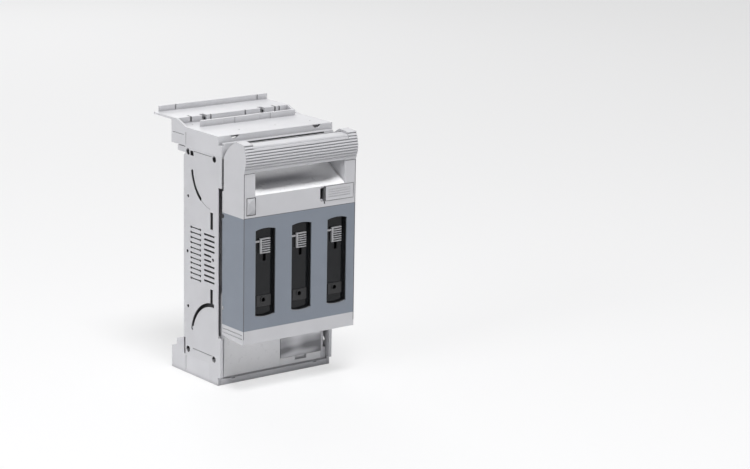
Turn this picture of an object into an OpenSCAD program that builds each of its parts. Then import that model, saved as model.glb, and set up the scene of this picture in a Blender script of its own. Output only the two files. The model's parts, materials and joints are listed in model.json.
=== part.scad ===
/* [Body] */
// Overall width across the side walls
body_w = 106; // [102:0.5:116]
// Height from the underside to the top of the upper hood
body_h = 194.6; // [190:0.2:206]
// Depth of the side walls behind the hood front
body_d = 47.2; // [46:0.2:54]
// Side wall thickness
wall_t = 2.5; // [2.2:0.1:3]
// Thickness of the inner walls, partitions and decks
inner_t = 2; // [1.6:0.1:2.5]
// Distance of the outer poles from the sides
pole_edge = 19.6; // [19:0.1:20.2]
// Height of each hood over the side walls
hood_h = 14.8; // [13:0.2:17]
// Rise of the middle of the side wall pattern over half the height
mid_rise = 0.6; // [0:0.1:1]

/* [Hinge] */
// Hinge axis behind the hood front
hinge_y = 7; // [6:0.5:8]
// Hinge axis over the underside
hinge_z = 33; // [32:0.5:35]
// Distance of the arc slot's end from the back of the body
slot_edge = 11.4; // [10.6:0.2:13]
// Width of the arc slot
slot_w = 3; // [2.6:0.1:3.4]
// Angle of the guide pin over the horizontal with the cover shut
pin_rest = 10; // [8:1:14]
// Radius of the trunnions on the cover arms
trunnion_r = 3; // [2.5:0.1:3.5]
// Running clearance of the pins and trunnions on the radius
run_gap = 0.06; // [0.04:0.01:0.09]
// Thickness of the cover arms
arm_t = 1.8; // [1.4:0.1:2]

/* [Cover] */
// How far the cover's front stands before the hood front
cover_y = 32.2; // [30:0.2:36]
// Height of the cover's lower edge at the front
cover_z = 39.5; // [39:0.2:41]
// Set-in of the cover's sides from the body's sides
cover_inset = 1; // [0.8:0.1:1.4]
// Wall of the cover
cover_t = 2; // [1.8:0.1:2.4]
// Lower edge of the coloured band
band_z0 = 50.2; // [48:0.2:53]
// Upper edge of the coloured band
band_z1 = 137.3; // [134:0.2:138]
// Thickness of the coloured band
band_t = 0.9; // [0.7:0.1:1.1]

/* [Grip] */
// Width of the cheeks beside the finger recess
recess_edge = 10.3; // [9.5:0.1:14]
// Height of the recess's lower edge
recess_z0 = 153.8; // [152:0.2:156]
// Height of the grip's lower edge
recess_z1 = 172.2; // [171:0.2:173]
// Depth of the recess behind the cover's front
recess_d = 23; // [20:0.5:24]
// Number of ridges on the grip
ridge_n = 9; // [7:1:11]
// Depth of the grooves between the ridges
ridge_d = 0.9; // [0.4:0.1:1.1]

/* [Windows] */
// Width of each window
win_w = 18.4; // [16:0.1:19]
// Height of each window at its middle
win_h = 68.6; // [60:0.2:70]
// Height of the windows' middle over the underside
win_z = 94; // [93:0.1:95]
// Rise of the arched window ends
win_arch = 1.4; // [1:0.1:2]
// Sideways shift of the window row from the middle
win_shift = 1.5; // [0:0.1:1.6]
// Travel of each test slider, downwards
test_travel = 12; // [8:1:14]
// Travel of the lock slider, towards the middle
lock_travel = 4.5; // [3:0.5:5]

/* [Contacts] */
// Distance of each contact jaw from the middle of the fuse-link
jaw_dz = 34; // [33:0.5:35]
// Thickness of a fuse-link's blade
blade_t = 6; // [5.5:0.1:6.2]
// Thickness of the copper straps
strap_t = 3; // [2.5:0.1:3]
// Width of the copper straps
strap_w = 15; // [13:0.5:16]
// Distance between neighbouring busbars
bar_pitch = 60; // [58:0.5:61]
// Thickness of a busbar that the hooks take
bar_t = 10; // [8:0.5:10]
// Height of a busbar that the hooks take
bar_h = 20; // [18:1:24]
// Number of plates in each arc chute
chute_n = 5; // [4:1:6]

/* [Hoods] */
// Wall of the hoods
hood_t = 2; // [1.6:0.1:2.4]
// Rise of the ridge and the flange over the hood top
flange_rise = 4.6; // [4:0.1:5.5]
// Depth of the rear flange behind the rear block
flange_d = 25; // [20:0.5:28]
// Depth of the hoods, rear block included
hood_d = 64.3; // [62:0.1:66]
// Thickness of the rear flange and its upstand
flange_t = 1.6; // [1.4:0.1:2]
// Height of the upstand on the flange
upstand_h = 4.4; // [4:0.1:5.5]

/* [Hidden] */

$fn = 48;
eps = 0.01;
seat = 0.3;

// Colours
c_body = [0.82, 0.82, 0.83];
c_hood = [0.85, 0.85, 0.86];
c_cover = [0.84, 0.84, 0.85];
c_band = [0.50, 0.55, 0.59];
c_dark = [0.12, 0.12, 0.13];
c_glass = [0.20, 0.21, 0.23, 0.6];
c_steel = [0.62, 0.63, 0.65];
c_copper = [0.80, 0.80, 0.78];

half_w = body_w / 2;
wall_in = half_w - wall_t;
hood_z = body_h - hood_h;
pole_pitch = half_w - pole_edge;
slot_r = body_d - hinge_y - slot_edge;
mid_z = body_h / 2 + mid_rise;

// Body front edges: the middle stretch, the top wings and the bottom wings
edge_y = 0.2;
ledge_y = -4.2;
wing_y = -2.9;
wing_top = 37;
foot_z = 6.5;
ledge_z = body_h - 39.3;
foot_d = 12;
tab_d = 8.3;
tab_h = 4.2;

// The space for the cover arms between the side walls and the liners
arm_gap = 0.4;
arm_out = wall_in - arm_gap;
arm_in = arm_out - arm_t;
liner_out = arm_in - arm_gap;
liner_in = liner_out - inner_t;

// Wall stack from the back: outer wall, strap space, contact wall
back_y = body_d - wall_t;
strap_gap = 0.1;
contact_y1 = back_y - strap_t - 2 * strap_gap;
contact_y0 = contact_y1 - wall_t;
bay_y = 2;
deck_z0 = mid_z - 52;
deck_z1 = mid_z + 58;

// Cover
cover_hw = half_w - cover_inset;
cover_back = -3.9;
cover_back_top = -5.6;
shell_in = -cover_y + cover_t;
step_z = ledge_z - 1.6;
grip_top = body_h - 0.1;
grip_r = 36.25;
grip_c = [-cover_y - 4.45, grip_top - 33.42];
bulge = 3.1;
cheek_w = 8.3;
bar_drop = 1.8;
recess_hw = cover_hw - recess_edge;
recess_floor_a = 14;
recess_end_a = 31;
recess_end_tilt = 20;
recess_r = 9;

// Rear contact: the busbar faces lie behind the back wall
bar_gap = 0.3;
bar_y = body_d + strap_t + bar_gap;

function pole_x(i) = (i - 2) * pole_pitch;
function win_x(i) = pole_x(i) + win_shift;
// The first pole meets the top busbar and the third the bottom one
function bar_z(i) = mid_z + (2 - i) * bar_pitch;

// A profile drawn in depth and height, drawn out from x0 to x1
module along_x(x0, x1) {
    translate([x0, 0, 0]) rotate([90, 0, 90]) linear_extrude(x1 - x0) children();
}

// A profile drawn in width and height, drawn out from y0 to y1
module along_y(y0, y1) {
    translate([0, y1, 0]) rotate([90, 0, 0]) linear_extrude(y1 - y0) children();
}

// A box given by its lowest and highest corners
module span(low, high) {
    translate(low) cube(high - low);
}

module both_sides() {
    children();
    mirror([1, 0, 0]) children();
}

// A round bar along X from x0 to x1, centred at depth y and height z
module rod_x(r, x0, x1, y, z) {
    translate([x0, y, z]) rotate([0, 90, 0]) cylinder(r = r, h = x1 - x0);
}

// A round bar along Y from y0 to y1
module rod_y(r, y0, y1, x, z) {
    translate([x, y0, z]) rotate([-90, 0, 0]) cylinder(r = r, h = y1 - y0);
}

// The guide slot's outline: an arc round the hinge and the straight way out
module arc_slot_2d() {
    r0 = slot_r - slot_w / 2;
    r1 = slot_r + slot_w / 2;
    a0 = pin_rest - 0.5;
    steps = 20;
    turn = [for (k = [0:steps]) a0 + (92 - a0) * k / steps];
    polygon(concat([for (a = turn) hinge_at(r0, a)],
        [for (k = [steps:-1:0]) hinge_at(r1, turn[k])]));
    translate(hinge_at(slot_r, a0)) circle(d = slot_w);
    // The straight part lets the open cover be lifted off
    translate([hinge_y - slot_w / 2, hinge_z + slot_r - slot_w / 2]) square([slot_w + 1.8, slot_w]);
    translate([hinge_y + 0.3, hinge_z + slot_r - slot_w / 2]) square([slot_w + 0.6, 14]);
}

function hinge_at(r, a) = [hinge_y + r * cos(a), hinge_z + r * sin(a)];

// A band of the guide arc, w wide, from angle a0 to a1
module arc_band_2d(w, a0, a1) {
    steps = 10;
    turn = [for (k = [0:steps]) a0 + (a1 - a0) * k / steps];
    polygon(concat([for (a = turn) hinge_at(slot_r - w / 2, a)],
        [for (k = [steps:-1:0]) hinge_at(slot_r + w / 2, turn[k])]));
}

// Places the upper arc, which turns the other way
module upper_arc_2d() {
    translate([0, 2 * mid_z + 2.6]) mirror([0, 1]) children();
}

// An open arc and a separate upright slot
module upper_slots_2d() {
    upper_arc_2d() {
        arc_band_2d(slot_w, 7, 53);
        for (a = [7, 53]) translate(hinge_at(slot_r, a)) circle(d = slot_w);
    }
    translate([hinge_y + 0.3, mid_z + 23.2]) square([slot_w + 0.6, 13.3]);
}

vent_pitch = 4.03;
vent_h = 1.5;
vent_l = 14.2;
vent_slit = 0.9;
vent_front = 5.1;
vent_rear = 23.7;
hole_r = 1.3;
snap_r = 2.5;
snap_front = 5.7;
snap_back = body_d - 5.9;
snap_dz = 78.3;

// Vent of the rear column: a narrow slit between two round ends
module bone_vent_2d() {
    translate([0, -vent_slit / 2]) square([vent_l, vent_slit]);
    for (y = [vent_h / 2, vent_l - vent_h / 2]) translate([y, 0]) circle(d = vent_h + 0.6);
}

module side_holes_2d() {
    // Two columns of vents; the front one makes room for a hole
    for (k = [0:10])
        translate([vent_rear, mid_z + (k - 5) * vent_pitch]) bone_vent_2d();
    for (k = [0:9]) {
        short = (k == 4 || k == 5) ? 4.5 : 0;
        translate([vent_front + short, mid_z + (k - 4.5) * vent_pitch - vent_h / 2])
            square([vent_l - short, vent_h]);
    }
    for (p = [[hinge_y + 0.1, 0], [snap_back + 0.8, 0], [snap_back, 43.6], [snap_back, -43.6]])
        translate([p[0], mid_z + p[1]]) circle(r = hole_r);
    for (y = [snap_front, snap_back], s = [-1, 1])
        translate([y, mid_z + s * snap_dz]) circle(r = snap_r);
    // Square hole beside the upper rear snap hole
    translate([snap_back - 7.6, mid_z + snap_dz - 2.4]) square([4.6, 3.8]);
}

module side_wall_2d() {
    tail = body_d - 2;
    difference() {
        polygon([[0, 0], [0, foot_z], [wing_y, foot_z], [wing_y, wing_top], [edge_y, wing_top + 1],
            [edge_y, ledge_z], [ledge_y, ledge_z], [ledge_y, hood_z], [tail, hood_z],
            [tail, hood_z - 0.6], [tail + 10.3, hood_z - 0.6], [tail + 10.3, hood_z - 0.6 - tab_h],
            [tail, hood_z - 0.6 - tab_h], [tail, hood_z - 6.6], [body_d, hood_z - 6.6],
            [body_d, hood_h + 13.2], [tail, hood_h + 13.2], [tail, hood_h], [foot_d, hood_h], [foot_d, 0]]);
        arc_slot_2d();
        upper_slots_2d();
        side_holes_2d();
    }
}

groove = 0.5;
lip_t = 0.8;
rebate_d = 4.2;

module side_wall() {
    difference() {
        along_x(wall_in, half_w) side_wall_2d();
        // Shallow lines of the snap strips below and above the hoods
        span([half_w - groove, 9, hood_z - 2.4], [half_w + 1, 33.4, hood_z - 1.9]);
        span([half_w - groove, 9, hood_h + 6.6], [half_w + 1, 35, hood_h + 7.1]);
        // Faint end of the upper arc
        along_x(half_w - 0.25, half_w + 1) upper_arc_2d() arc_band_2d(0.7, 57, 82);
        // Rebate behind the thin front lip, beside the cover
        span([wall_in - 1, edge_y - 1, wing_top + 2], [half_w - lip_t, edge_y + rebate_d, ledge_z + 1]);
        span([wall_in - 1, ledge_y - 1, ledge_z - 1], [half_w - lip_t, ledge_y + rebate_d, hood_z - 1.5]);
        // Blind socket for the cover's trunnion
        rod_x(trunnion_r + run_gap, wall_in - 1, half_w - 1, hinge_y, hinge_z);
    }
}

front_hw = wall_in - 2;

// Terminal wall: the body's front above the cover's windows, with screwdriver holes
module terminal_wall() {
    difference() {
        span([-front_hw, ledge_y, ledge_z], [front_hw, ledge_y + inner_t, hood_z]);
        for (i = [1:3]) rod_y(4.2, ledge_y - 1, ledge_y + inner_t + 1, pole_x(i), screw_z);
    }
    // Returns at both ends, back to the deck
    both_sides() span([front_hw - inner_t, ledge_y, ledge_z], [front_hw, ledge_y + 9, hood_z]);
}

module partition(x) {
    span([x - inner_t / 2, bay_y, deck_z0], [x + inner_t / 2, back_y + eps, deck_z1]);
}

module contact_wall() {
    difference() {
        span([-liner_out, contact_y0, deck_z0], [liner_out, contact_y1, deck_z1]);
        for (i = [1:3], s = [-1, 1])
            rod_y(jaw_screw_r + 0.2, contact_y0 - 1, contact_y1 + 1, pole_x(i), mid_z + s * jaw_dz);
    }
}

module back_wall() {
    difference() {
        span([-wall_in - eps, back_y, hood_h + 13.2], [wall_in + eps, body_d, hood_z - 6.6]);
        // A way out for each line strap at its busbar
        for (i = [1:3])
            translate([pole_x(i) + (rail_side(i) > 0 ? rail_x : -rail_x - rail_w), 0, 0])
                span([-0.1, back_y - 1, bar_z(i) - foot_h / 2 - 0.1], [rail_w + 0.1, body_d + 1, bar_z(i) + foot_h / 2 + 0.1]);
    }
}

module chassis() {
    color(c_body) difference() {
        union() {
            both_sides() side_wall();
            both_sides() partition(pole_pitch / 2);
            both_sides() partition(liner_out - inner_t / 2);
            contact_wall();
            back_wall();
            terminal_wall();
            // Decks over and under the pole bays
            span([-liner_out, bay_y, deck_z0 - inner_t], [liner_out, contact_y1, deck_z0 + eps]);
            span([-wall_in - eps, ledge_y + eps, deck_z1 - eps], [wall_in + eps, contact_y1, deck_z1 + inner_t]);
        }
        // Slots in the partitions that hold the arc chutes
        for (i = [1:3]) translate([pole_x(i), 0, 0]) chute_slots(i);
        // Windows in the liners let air from the poles reach the vents
        both_sides() for (y = [vent_front, vent_rear])
            span([liner_in - 1, y + 1, mid_z - vent_reach], [liner_out + 1, y + vent_l - 1, mid_z + vent_reach]);
    }
}

vent_reach = 5 * vent_pitch + 1;

// Arc chutes sit over each upper jaw, their plate ends in shallow grooves
chute_step = 2.6;
chute_plate = 1;
chute_y0 = 6;
chute_y1 = contact_y0 - 8;
chute_grip = 0.8;

// Inner faces of each pole's bay, from the pole's own middle
function bay_lo(i) = i == 1 ? -liner_in - pole_x(i) : -pole_pitch / 2 + inner_t / 2;
function bay_hi(i) = i == 3 ? liner_in - pole_x(i) : pole_pitch / 2 - inner_t / 2;
function chute_at(k) = mid_z + jaw_dz + 10 + k * chute_step;

module chute_slots(i) {
    for (k = [0:chute_n - 1])
        span([bay_lo(i) - chute_grip, bay_y - 1, chute_at(k) - 0.1],
            [bay_hi(i) + chute_grip, chute_y1 + 0.1, chute_at(k) + chute_plate + 0.1]);
}

module arc_chute(i) {
    x0 = bay_lo(i) - chute_grip + 0.1;
    x1 = bay_hi(i) + chute_grip - 0.1;
    color(c_steel) translate([pole_x(i), 0, 0])
        for (k = [0:chute_n - 1])
            translate([0, 0, chute_at(k)]) linear_extrude(chute_plate)
                polygon([[x0, chute_y0], [-6, chute_y0], [-2, chute_y1 - 12], [2, chute_y1 - 12], [6, chute_y0],
                    [x1, chute_y0], [x1, chute_y1], [x0, chute_y1]]);
}

// Contact jaw: two sprung legs with flared lips on a foot
jaw_h = 13;
jaw_leg = 1.6;
jaw_front = contact_y0 - 24;
jaw_screw_r = 2;
foot_t = 2.5;

module jaw_2d() {
    // Half of the jaw in plan: foot, leg and flared lip
    g = blade_t / 2 - 0.2;
    fy = contact_y0;
    polygon([[-eps, fy], [9, fy], [9, fy - foot_t], [g + 2.4 + jaw_leg, fy - foot_t],
        [g + jaw_leg, jaw_front + 7], [g + 3 + jaw_leg, jaw_front], [g + 3, jaw_front],
        [g, jaw_front + 7], [g + 2.4, fy - foot_t], [-eps, fy - foot_t]]);
}

module jaw(i, s) {
    color(c_copper) translate([pole_x(i), 0, mid_z + s * jaw_dz]) difference() {
        translate([0, 0, -jaw_h / 2]) linear_extrude(jaw_h) {
            jaw_2d();
            mirror([1, 0]) jaw_2d();
        }
        rod_y(jaw_screw_r + 0.1, contact_y0 - foot_t - 1, contact_y0 + 1, 0, 0);
    }
}

// A steel clip presses the legs of each jaw together
spring_y = jaw_front + 11;

module jaw_spring(i, s) {
    g = blade_t / 2 - 0.2 + jaw_leg + 1.1;
    translate([pole_x(i), 0, mid_z + s * jaw_dz + s * (jaw_h / 2 + 0.1) - (s < 0 ? 1.2 : 0)]) {
        // Bridge over the end of the jaw and a finger on each leg
        span([-g - 1.2, spring_y - 3, 0], [g + 1.2, spring_y + 3, 1.2]);
    }
    translate([pole_x(i), 0, mid_z + s * jaw_dz])
        for (m = [0, 1]) mirror([m, 0, 0])
            span([g, spring_y - 3, min(0, s * (jaw_h / 2 + 0.1)) - (s > 0 ? 4 : 0)],
                [g + 1.2, spring_y + 3, max(0, s * (jaw_h / 2 + 0.1)) + (s < 0 ? 4 : 0)]);
}

module jaw_springs() {
    color(c_steel) for (i = [1:3], s = [-1, 1]) jaw_spring(i, s);
}

module jaw_screws() {
    color(c_steel) for (i = [1:3], s = [-1, 1]) translate([pole_x(i), 0, mid_z + s * jaw_dz]) {
        rod_y(jaw_screw_r, contact_y0 - foot_t - eps, back_y - 0.6, 0, 0);
        difference() {
            rod_y(2.4, contact_y0 - foot_t - 2, contact_y0 - foot_t, 0, 0);
            rod_y(1.2, contact_y0 - foot_t - 3, contact_y0 - foot_t - 0.8, 0, 0, $fn = 6);
        }
    }
}

strap_y0 = contact_y1 + strap_gap;
strap_y1 = strap_y0 + strap_t;
strap_top = hood_z - 6.8;

// Load strap: from the upper jaw up, then forward to a tongue in the cable clamp
tongue_y = contact_y0 - 3;
bend_z = deck_z1 + inner_t + 3;

module load_strap(i) {
    color(c_copper) translate([pole_x(i), 0, 0]) difference() {
        along_x(-strap_w / 2, strap_w / 2) polygon([[strap_y0, mid_z + jaw_dz - 7],
            [strap_y1, mid_z + jaw_dz - 7], [strap_y1, bend_z + strap_t], [tongue_y, bend_z + strap_t],
            [tongue_y, strap_top], [tongue_y - strap_t, strap_top], [tongue_y - strap_t, bend_z],
            [strap_y0, bend_z]]);
        rod_y(jaw_screw_r + 0.05, strap_y0 - 1, strap_y1 + 1, 0, mid_z + jaw_dz);
    }
}

// Line strap: from the lower jaw, beside the load strap, to the busbar face behind the back wall
foot_h = 18;
rail_x = strap_w / 2 + 1.6;
rail_w = pole_pitch / 2 - inner_t / 2 - 1.6 - rail_x;
function rail_side(i) = i == 3 ? -1 : 1;

module rail(i, z0, z1, y1) {
    x0 = rail_side(i) > 0 ? rail_x : -rail_x - rail_w;
    span([x0, strap_y0, z0], [x0 + rail_w, y1, z1]);
}

module line_strap(i) {
    z_low = mid_z - jaw_dz;
    z_bar = bar_z(i);
    inner = -strap_w / 2;
    outer = rail_x + rail_w;
    low = rail_side(i) > 0 ? inner : -outer;
    high = rail_side(i) > 0 ? outer : -inner;
    color(c_copper) translate([pole_x(i), 0, 0]) difference() {
        union() {
            span([low, strap_y0, z_low - 7], [high, strap_y1, z_low + 7]);
            rail(i, min(z_low - 7, z_bar - foot_h / 2), max(z_low + 7, z_bar + foot_h / 2), strap_y1);
            rail(i, z_bar - foot_h / 2, z_bar + foot_h / 2, body_d + strap_t);
            span([low, body_d + eps, z_bar - foot_h / 2], [high, body_d + strap_t, z_bar + foot_h / 2]);
        }
        rod_y(jaw_screw_r + 0.05, strap_y0 - 1, strap_y1 + 1, 0, z_low);
    }
}

// Cable clamp: a ring round the tongue, open upwards, with its screw from the front
screw_z = (bend_z + strap_t + hood_z - 3) / 2;
clamp_y0 = tongue_y - 15.5;
clamp_w = strap_w / 2 + 0.3;
clamp_wall = 2.2;
clamp_screw_r = 3;

module cable_clamp(i) {
    z0 = bend_z + strap_t + seat;
    color(c_steel) translate([pole_x(i), 0, 0]) difference() {
        span([-clamp_w - clamp_wall, clamp_y0, z0], [clamp_w + clamp_wall, tongue_y + seat + clamp_wall, strap_top + 1]);
        span([-clamp_w, clamp_y0 + clamp_wall + 1, z0 - 1], [clamp_w, tongue_y + seat, strap_top + 2]);
        rod_y(clamp_screw_r + 0.05, clamp_y0 - 1, clamp_y0 + clamp_wall + 2, 0, screw_z);
    }
}

module clamp_screws() {
    color(c_steel) for (i = [1:3]) {
        rod_y(clamp_screw_r, clamp_y0 - 8, clamp_y0 + clamp_wall + 4, pole_x(i), screw_z);
        difference() {
            rod_y(4.6, clamp_y0 - 12, clamp_y0 - 8, pole_x(i), screw_z);
            rod_y(2.6, clamp_y0 - 13, clamp_y0 - 9.5, pole_x(i), screw_z, $fn = 6);
        }
    }
}

// Hook over each busbar, on the back wall above the busbar face
hook_w = 12;

module busbar_hook(i) {
    top = bar_z(i) + bar_h / 2 + 1.2;
    back = bar_y + bar_t + bar_gap;
    color(c_body) translate([pole_x(i), 0, 0]) difference() {
        along_x(-hook_w / 2, hook_w / 2) polygon([[body_d, top], [back, top], [back, top - 5],
            [back + 1, top - 7.5], [back + 3.2, top - 7.5], [back + 3.2, top + 4], [back, top + 7], [body_d, top + 7]]);
        // Lightening pocket from above
        span([-hook_w / 2 + 2, body_d + 3, top + 2.5], [hook_w / 2 - 2, back - 2, top + 8]);
    }
}

// Upper hood: outline in depth and height
hood_end_y = foot_d + 32.6;
ridge_y = hood_d - 25.5;
ridge_t = 2.4;
notch_y = hood_d - 6.8;
scoop_r = 4.6;
scoop_h = 2.8;
ledge_h = 8;
ledge_top = hood_z + ledge_h;
plate_z = body_h + flange_rise;
ridge_x0 = -half_w + 10.8;
ridge_x1 = half_w - 7.7;

module top_hood_outer_2d() {
    polygon([[ledge_y, hood_z], [hood_d, hood_z], [hood_d, plate_z], [notch_y, plate_z], [notch_y, body_h],
        [0, body_h], [0, ledge_top + 1.8], [ledge_y, ledge_top + 1.8]]);
}

module top_hood_inner_2d() {
    t = hood_t;
    polygon([[ledge_y + t, hood_z - 1], [hood_d - t, hood_z - 1], [hood_d - t, plate_z - t],
        [notch_y + t, plate_z - t], [notch_y + t, body_h - t], [t, body_h - t], [t, ledge_top - 0.2],
        [ledge_y + t, ledge_top - 0.2]]);
}

module hood_notch(x, w, d) {
    span([x - w / 2, notch_y - 1, body_h + 0.4], [x + w / 2, notch_y + d, plate_z + 1]);
}

module top_hood() {
    color(c_hood) difference() {
        union() {
            difference() {
                along_x(-half_w, half_w) top_hood_outer_2d();
                along_x(-half_w + hood_t, half_w - hood_t) top_hood_inner_2d();
            }
            // Ridge across the top
            span([ridge_x0, ridge_y, body_h - eps], [ridge_x1, ridge_y + ridge_t, plate_z]);
            // Ramps at both ends behind the ridge
            both_sides() along_x(half_w - hood_t, half_w)
                polygon([[hood_end_y, body_h - eps], [notch_y + eps, body_h - eps], [notch_y + eps, plate_z],
                    [notch_y - 2, plate_z - 0.6]]);
            // Rear flange and its upstand
            span([-half_w, hood_d - eps, plate_z - flange_t], [half_w, hood_d + flange_d, plate_z]);
            span([-half_w + 4.1, hood_d + flange_d - flange_t, plate_z - eps],
                [half_w, hood_d + flange_d, plate_z + upstand_h]);
        }
        // The ledge is lower at both ends
        both_sides() span([wall_in, ledge_y - 1, ledge_top], [half_w + 1, -eps, ledge_top + 4]);
        // Notches in the rear block behind the outer poles and a small one at each pole
        for (i = [1, 3], s = [-1, 1]) hood_notch(pole_x(i) + s * 6.1, s * (2 - i) > 0 ? 4.4 : 1.6, 5.5);
        for (i = [1:3]) hood_notch(pole_x(i) + 12 - (i - 1), 1.6, 1.4);
        // Shallow recesses in the ridge between the poles
        for (s = [-1, 1]) span([s * pole_pitch / 2 - 5.4, ridge_y - 1, body_h], [s * pole_pitch / 2 + 5.4, ridge_y + 0.5, plate_z + 1]);
        // Slits in the upstand
        for (x = [-half_w + 19, half_w - 9.6]) span([x - 0.5, hood_d + flange_d - 3, plate_z + 0.2], [x + 0.5, hood_d + flange_d + 1, plate_z + upstand_h + 1]);
        // Finger scoops in the front edge
        for (s = [-1, 1]) intersection() {
            rod_y(scoop_r, -1, hood_t + 0.6, s * (half_w - 15), body_h + scoop_r - scoop_h);
            span([-half_w, -1, body_h - scoop_h - 1], [half_w, hood_t + 0.6, body_h - 0.5]);
        }
        for (s = [-1, 1]) rod_y(scoop_r, -1, 0.6, s * (half_w - 15), body_h + scoop_r - scoop_h);
        // Small holes in the top
        for (p = [[-half_w + 28.9, 14.8], [half_w - 43.7, 14.8], [half_w - 10.7, 14.8], [-half_w + 9.7, ridge_y + 11.1]])
            translate([p[0], p[1], body_h - hood_t - 1]) cylinder(r = 0.7, h = hood_t + 2);
        // Step line on the end faces
        both_sides() span([half_w - groove, hood_end_y - 0.5, hood_z + 1], [half_w + 1, hood_end_y, body_h - 4]);
        both_sides() span([half_w - groove, hood_end_y + 2.4, hood_z + 8.3], [half_w + 1, hood_d - 2.3, hood_z + 8.8]);
    }
}

// Lower hood: base, rear block and the field for the rating plate
plate_y = 1.6;
lip_h = 4.6;
field_t = 2;
rear_low = 17.4;

module bottom_hood_outer_2d() {
    polygon([[plate_y, 0], [hood_d, 0], [hood_d, rear_low], [notch_y - 0.3, rear_low + 2.2], [notch_y - 0.3, rear_low + 7.2],
        [body_d + 0.3, rear_low + 10.5], [body_d, hood_h], [plate_y, hood_h]]);
}

module bottom_hood_inner_2d() {
    t = hood_t;
    polygon([[plate_y - 1, t], [hood_d - t, t], [hood_d - t, rear_low - t], [notch_y - 0.3 - t, rear_low + 2.2 - t],
        [notch_y - 0.3 - t, rear_low + 5.7], [body_d + t, rear_low + 7.6], [body_d + t, hood_h + 1], [body_d, hood_h + 1],
        [plate_y - 1, hood_h + 1]]);
}

module bottom_hood() {
    color(c_hood) difference() {
        union() {
            difference() {
                along_x(-half_w, half_w) bottom_hood_outer_2d();
                along_x(-half_w + hood_t, half_w - hood_t) bottom_hood_inner_2d();
                // Room for the front feet of the side walls
                both_sides() span([wall_in, -1, -1], [half_w + 1, foot_d + 0.05, hood_h + 1]);
            }
            // Rating plate field with the front lip
            span([-wall_in + 0.1, plate_y, 0], [wall_in - 0.1, plate_y + field_t, hood_h - 0.6]);
            span([-liner_out, plate_y, 0], [liner_out, plate_y + field_t, deck_z0 - inner_t]);
            span([-wall_in + 0.1, 0, 0], [wall_in - 0.1, plate_y + eps, lip_h]);
        }
        // Two notches in the lip
        for (x = [-half_w + 14.2, half_w - 14.6]) span([x - 1.6, -1, lip_h - 1], [x + 1.6, plate_y - 0.4, lip_h + 1]);
        // Tab notch under the plate window
        span([window_x0 + 14.3, plate_y - 1, 8.5], [window_x0 + 24.7, plate_y + 0.8, 10.2]);
        span([window_x0 + 23.9, plate_y - 1, 8.5], [window_x0 + 24.7, plate_y + 0.8, 11.6]);
        // Step line on the end faces
        both_sides() span([half_w - groove, hood_end_y - 0.5, 2], [half_w + 1, hood_end_y, hood_h - 1]);
    }
}

window_x1 = half_w - 7.8;
window_x0 = window_x1 - 39;
window_z0 = 11.8;
field_top = deck_z0 - inner_t - 1;

module rating_plate() {
    color([0.75, 0.76, 0.77]) span([-liner_out + 1, plate_y - 0.6, lip_h + 1.2], [window_x0 - 0.3, plate_y, field_top]);
}

module plate_window() {
    color(c_glass) span([window_x0, plate_y - 0.9, window_z0], [window_x1, plate_y, field_top]);
}

// Cover outline: flat front, bulged grip, round rear top
function arc_at(c, r, a) = [c[0] + r * cos(a), c[1] + r * sin(a)];

// Points of the round rear top, from the rear corner to the crown; inset by t
function back_arc(y_rear, t, n) = [for (k = [0:n])
    let (a0 = acos((y_rear - t - grip_c[0]) / (grip_r - t)), a1 = 66) arc_at(grip_c, grip_r - t, a0 + (a1 - a0) * k / n)];

// Front of the grip: a shallow bulge between its lower edge and the crown
function bulge_at(z, t) = let (u = (z - recess_z1) / (grip_top - 1.2 - recess_z1))
    -cover_y - bulge * 4 * u * (1 - u) * (1 - 0.15 * u) + t;

function front_arc(t, n) = [for (k = [0:n])
    let (z = recess_z1 + (grip_top - 1.2 - recess_z1) * (1 - k / n)) [bulge_at(z, t), z - t * (1 - k / n)]];

module cover_outer_2d() {
    polygon(concat([[-cover_y, cover_z], [-14, cover_z + 0.6], [cover_back, cover_z + 2.2],
        [cover_back, step_z], [cover_back_top, step_z]], back_arc(cover_back_top, 0, 12), front_arc(0, 8)));
}

module cover_inner_2d() {
    t = cover_t;
    polygon(concat([[-cover_y + t, cover_z + t], [-14, cover_z + t + 0.6], [cover_back + 1, cover_z + t + 2.2],
        [cover_back + 1, recess_z0 + 4], [cover_back_top - t, recess_z0 + 4]],
        back_arc(cover_back_top, t, 12), front_arc(t, 8)));
}

// Finger recess: sloping floor, round inner corner, back wall, hollow behind the grip
recess_y = -cover_y + recess_d;
hollow_z = grip_top - 9;

function recess_points(t) = let (
        fl = recess_floor_a,
        cy = recess_y - recess_r,
        run = cy + recess_r * sin(fl) + cover_y,
        cz = recess_z0 + run * tan(fl) + recess_r * cos(fl))
    concat([[-cover_y - 1, recess_z0 - t - tan(fl)]],
        [for (k = [0:8]) let (a = -90 + fl + (90 - fl) * k / 8) [cy + (recess_r + t) * cos(a), cz + (recess_r + t) * sin(a)]],
        [[recess_y + t, hollow_z - 4 + t], [recess_y - 5, hollow_z + t]]);

module recess_2d() {
    polygon(concat(recess_points(0), [[-cover_y + cover_t + 0.5, hollow_z], [-cover_y + cover_t + 0.5, recess_z1],
        [-cover_y - 1, recess_z1]]));
}

// Ramp at an end of the recess: a flat slope that sinks into the round corner inwards
module recess_end() {
    translate([recess_hw, -cover_y, recess_z0]) rotate([recess_end_a, 0, 0]) rotate([0, -recess_end_tilt, 0])
        translate([-44, -3, -25]) cube([46, 32, 25]);
}

module recess_wall_2d() {
    intersection() {
        polygon(concat(recess_points(cover_t), [[-cover_y - 1, hollow_z + cover_t]]));
        cover_outer_2d();
    }
}

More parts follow.
